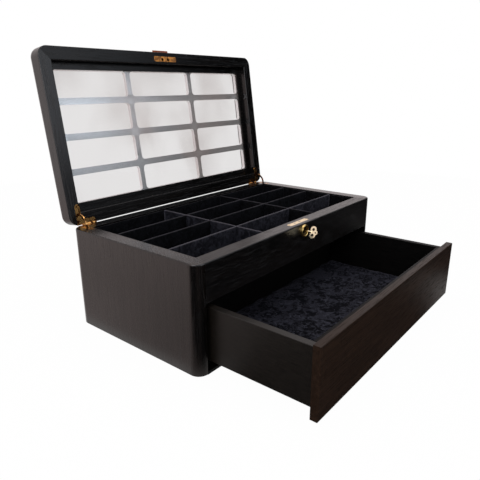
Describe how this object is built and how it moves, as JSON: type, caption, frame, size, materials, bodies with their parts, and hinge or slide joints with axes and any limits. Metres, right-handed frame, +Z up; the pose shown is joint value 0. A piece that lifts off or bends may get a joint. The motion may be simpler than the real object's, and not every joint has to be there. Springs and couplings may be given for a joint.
{
  "type": "glasses box",
  "caption": "Black wooden storage chest for spectacles: hinged glazed lid over velvet-lined compartments, small lock with key, and one wide padded drawer below.",
  "frame": {"origin": "centre of the carcass's underside, on the surface that the box stands on", "axes": "+X along the box's length, to the right as seen from the front; the front and the drawer face -Y; +Z up"},
  "size_m": [0.56, 0.5709, 0.4897],
  "materials": {
    "black_wood": "black stained open-grain veneer, satin lacquer",
    "black_board": "black satin lacquer",
    "velvet": "blue-black crushed velvet",
    "brass": "polished",
    "steel": "plain",
    "silver_grid": "satin silver",
    "clear_glass": "clear float glass",
    "leather": "red-brown"
  },
  "bodies": {
    "carcass": {"side_left": "black_wood", "side_right": "black_wood", "back_board": "black_wood", "front_rail": "black_wood", "shelf": "black_board", "bottom_board": "black_board", "drawer_runners": "black_board", "drawer_stops": "black_board", "compartment_pad": "velvet", "lining_left": "velvet", "lining_right": "velvet", "lining_front": "velvet", "lining_back": "velvet", "divider_long_1": "velvet", "divider_long_2": "velvet", "divider_long_3": "velvet", "divider_cross_1": "velvet", "divider_cross_2": "velvet", "lock_case": "steel", "lock_plate": "brass", "lock_screws": "brass", "key_escutcheon": "brass", "box_leaf_left": "brass", "box_leaf_right": "brass", "box_leaf_screws": "brass", "hinge_pin_left": "brass", "hinge_pin_right": "brass"},
    "lid": {"lid_rail_front": "black_wood", "lid_rail_back": "black_wood", "lid_rail_left": "black_wood", "lid_rail_right": "black_wood", "glazing_beads": "black_board", "lid_glass": "clear_glass", "lid_lattice": "silver_grid", "pull_tab": "leather", "strike_plate": "brass", "strike_screws": "brass", "lid_leaf_left": "brass", "lid_leaf_right": "brass", "lid_leaf_screws": "brass"},
    "drawer": {"drawer_front_panel": "black_wood", "drawer_inner_front": "black_board", "drawer_side_left": "black_board", "drawer_side_right": "black_board", "drawer_back": "black_board", "drawer_bottom": "black_board", "drawer_pad": "velvet"},
    "quadrant_left": {"quadrant_arm_left": "brass"},
    "quadrant_right": {"quadrant_arm_right": "brass"},
    "barrel": {"key_barrel": "brass"},
    "bolt": {"lock_bolt": "steel"},
    "key": {"key": "brass"}
  },
  "joints": [
    {"name": "lid_hinge", "type": "hinge", "parent": "carcass", "child": "lid", "pos_m": [0, 0.1534, 0.1822], "axis": [1, 0, 0], "range_deg": [0, 98]},
    {"name": "quadrant_left_turn", "type": "hinge", "parent": "carcass", "child": "quadrant_left", "pos_m": [-0.2615, 0.1534, 0.1822], "axis": [1, 0, 0], "range_deg": [0, 49]},
    {"name": "quadrant_right_turn", "type": "hinge", "parent": "carcass", "child": "quadrant_right", "pos_m": [0.2615, 0.1534, 0.1822], "axis": [1, 0, 0], "range_deg": [0, 49]},
    {"name": "drawer_slide", "type": "slide", "parent": "carcass", "child": "drawer", "axis": [0, 1, 0], "range_m": [0, 0.1905]},
    {"name": "key_turn", "type": "hinge", "parent": "carcass", "child": "barrel", "pos_m": [0, -0.1505, 0.1685], "axis": [0, -1, 0], "range_deg": [0, 90]},
    {"name": "bolt_throw", "type": "slide", "parent": "carcass", "child": "bolt", "axis": [0.7071, 0, 0.7071], "range_m": [0, 0.00636]},
    {"name": "key_pull", "type": "slide", "parent": "barrel", "child": "key", "axis": [0, -1, 0], "range_m": [0, 0.03]}
  ],
  "couplings": [
    {"joint": "quadrant_left_turn", "follows": "lid_hinge", "ratio": 0.5},
    {"joint": "quadrant_right_turn", "follows": "lid_hinge", "ratio": 0.5},
    {"joint": "bolt_throw", "follows": "key_turn", "m_per_rad": 0.0040508}
  ]
}
